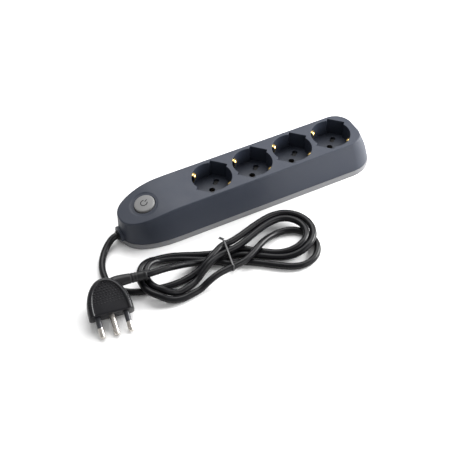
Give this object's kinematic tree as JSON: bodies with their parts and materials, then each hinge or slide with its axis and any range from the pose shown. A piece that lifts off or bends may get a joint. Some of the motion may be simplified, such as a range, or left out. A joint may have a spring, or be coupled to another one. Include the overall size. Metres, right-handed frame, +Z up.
{
  "type": "desk power strip",
  "caption": "Desk power strip with round recessed sockets in a row, a standby push switch on a sloping nose, and a tied mains lead that ends in a flat three-pin plug.",
  "frame": {"origin": "middle of the strip's underside, on the surface that it stands on", "axes": "+X along the strip away from the lead, +Z up, +Y towards the back, the hank and plug lying on the -Y side"},
  "size_m": [0.3382, 0.1437, 0.04],
  "materials": {
    "shell_plastic": "fine matt moulded grain",
    "tray_plastic": "fine matt moulded grain",
    "zinc_steel": "zinc plated",
    "carrier_plastic": "natural moulded nylon",
    "brass": "bright pressed strip",
    "shutter_plastic": "plain moulded",
    "spring_steel": "bright drawn wire",
    "button_plastic": "satin moulded",
    "live_wire": "smooth insulation",
    "neutral_wire": "smooth insulation",
    "earth_wire": "smooth insulation, green with a yellow stripe",
    "cord_pvc": "soft shiny sheath",
    "tie_plastic": "thin plastic over wire",
    "plug_plastic": "moulded, with a dotted grip",
    "nickel": "nickel plated"
  },
  "bodies": {
    "housing": {"top_shell": "shell_plastic", "socket_cup_1": "shell_plastic", "socket_cup_2": "shell_plastic", "socket_cup_3": "shell_plastic", "socket_cup_4": "shell_plastic", "base_tray": "tray_plastic", "housing_screws": "zinc_steel", "contact_carrier": "carrier_plastic", "live_rail": "brass", "neutral_rail": "brass", "earth_rail": "brass", "earth_clip_1": "brass", "earth_clip_2": "brass", "earth_clip_3": "brass", "earth_clip_4": "brass", "shutter_spring_1": "spring_steel", "shutter_spring_2": "spring_steel", "shutter_spring_3": "spring_steel", "shutter_spring_4": "spring_steel", "switch_housing": "shutter_plastic", "switch_spring": "spring_steel", "supply_terminal": "brass", "load_terminal": "brass", "supply_wire": "live_wire", "switched_wire": "live_wire", "neutral_wire": "neutral_wire", "earth_wire": "earth_wire", "inner_sheath": "cord_pvc", "cord_clamp": "carrier_plastic", "clamp_screws": "zinc_steel", "cord_bush": "cord_pvc", "cord_lead": "cord_pvc", "cord_hank": "cord_pvc", "cord_tail": "cord_pvc", "cord_tie": "tie_plastic", "plug_body": "plug_plastic", "plug_relief": "cord_pvc", "live_pin": "nickel", "neutral_pin": "nickel", "earth_pin": "nickel", "pin_sleeves": "plug_plastic"},
    "button": {"switch_button": "button_plastic", "switch_plunger": "carrier_plastic", "contact_bridge": "brass"},
    "shutter_1": {"shutter_1": "shutter_plastic"},
    "shutter_2": {"shutter_2": "shutter_plastic"},
    "shutter_3": {"shutter_3": "shutter_plastic"},
    "shutter_4": {"shutter_4": "shutter_plastic"}
  },
  "joints": [
    {"name": "switch_press", "type": "slide", "parent": "housing", "child": "button", "axis": [0.2425, 0, -0.9701], "range_m": [0, 0.003], "stiffness_N_per_m": 400, "springref_m": -0.002, "deforming": ["switch_spring"]},
    {"name": "shutter_1_slide", "type": "slide", "parent": "housing", "child": "shutter_1", "axis": [-0.7071, 0.7071, 0], "range_m": [0, 0.006], "stiffness_N_per_m": 120, "springref_m": -0.001, "deforming": ["shutter_spring_1"]},
    {"name": "shutter_2_slide", "type": "slide", "parent": "housing", "child": "shutter_2", "axis": [-0.7071, 0.7071, 0], "range_m": [0, 0.006], "stiffness_N_per_m": 120, "springref_m": -0.001, "deforming": ["shutter_spring_2"]},
    {"name": "shutter_3_slide", "type": "slide", "parent": "housing", "child": "shutter_3", "axis": [-0.7071, 0.7071, 0], "range_m": [0, 0.006], "stiffness_N_per_m": 120, "springref_m": -0.001, "deforming": ["shutter_spring_3"]},
    {"name": "shutter_4_slide", "type": "slide", "parent": "housing", "child": "shutter_4", "axis": [-0.7071, 0.7071, 0], "range_m": [0, 0.006], "stiffness_N_per_m": 120, "springref_m": -0.001, "deforming": ["shutter_spring_4"]}
  ]
}
